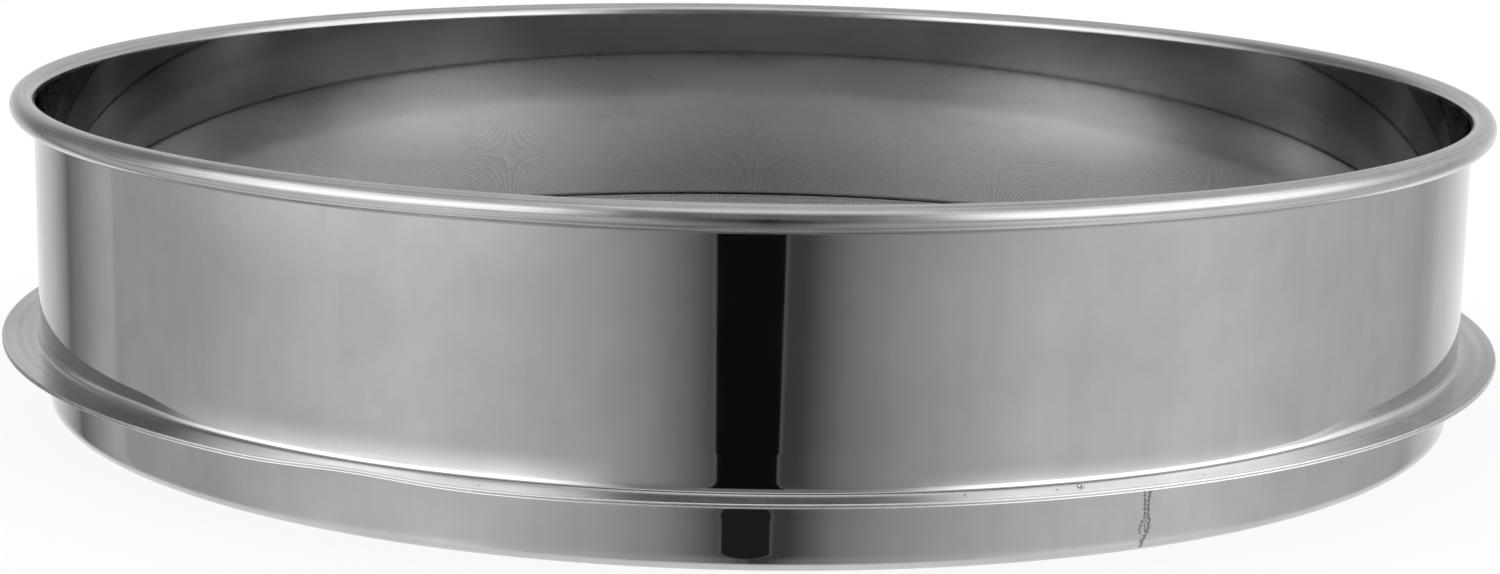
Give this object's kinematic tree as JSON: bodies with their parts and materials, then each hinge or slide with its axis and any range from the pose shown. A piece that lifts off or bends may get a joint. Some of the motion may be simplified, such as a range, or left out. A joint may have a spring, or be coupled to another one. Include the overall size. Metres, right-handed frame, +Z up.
{
  "type": "tamis drum sieve",
  "caption": "Round drum sieve of polished stainless sheet: upright wall with a rolled wired rim, flat flange, nesting skirt below, and a fine woven wire floor clamped between the rings.",
  "frame": {"origin": "centre of the circle that the skirt's curled lip stands on, at the bottom of the sieve", "axes": "+Z up along the drum's axis, towards the rolled rim; -Y is the side that faced the viewer"},
  "size_m": [0.3152, 0.3152, 0.0647],
  "materials": {
    "polished_sheet": "mirror-polished stainless steel sheet",
    "drawn_wire": "bright drawn stainless wire",
    "woven_cloth": "plain-woven stainless wire cloth",
    "weld_metal": "weld metal, dull and slightly rough"
  },
  "bodies": {
    "root": {"drum_body": "polished_sheet", "rim_wire": "drawn_wire", "sieve_cloth": "woven_cloth", "skirt_ring": "polished_sheet", "drum_seam_weld": "weld_metal", "skirt_seam_weld": "weld_metal", "flange_spot_welds": "weld_metal"}
  },
  "joints": []
}
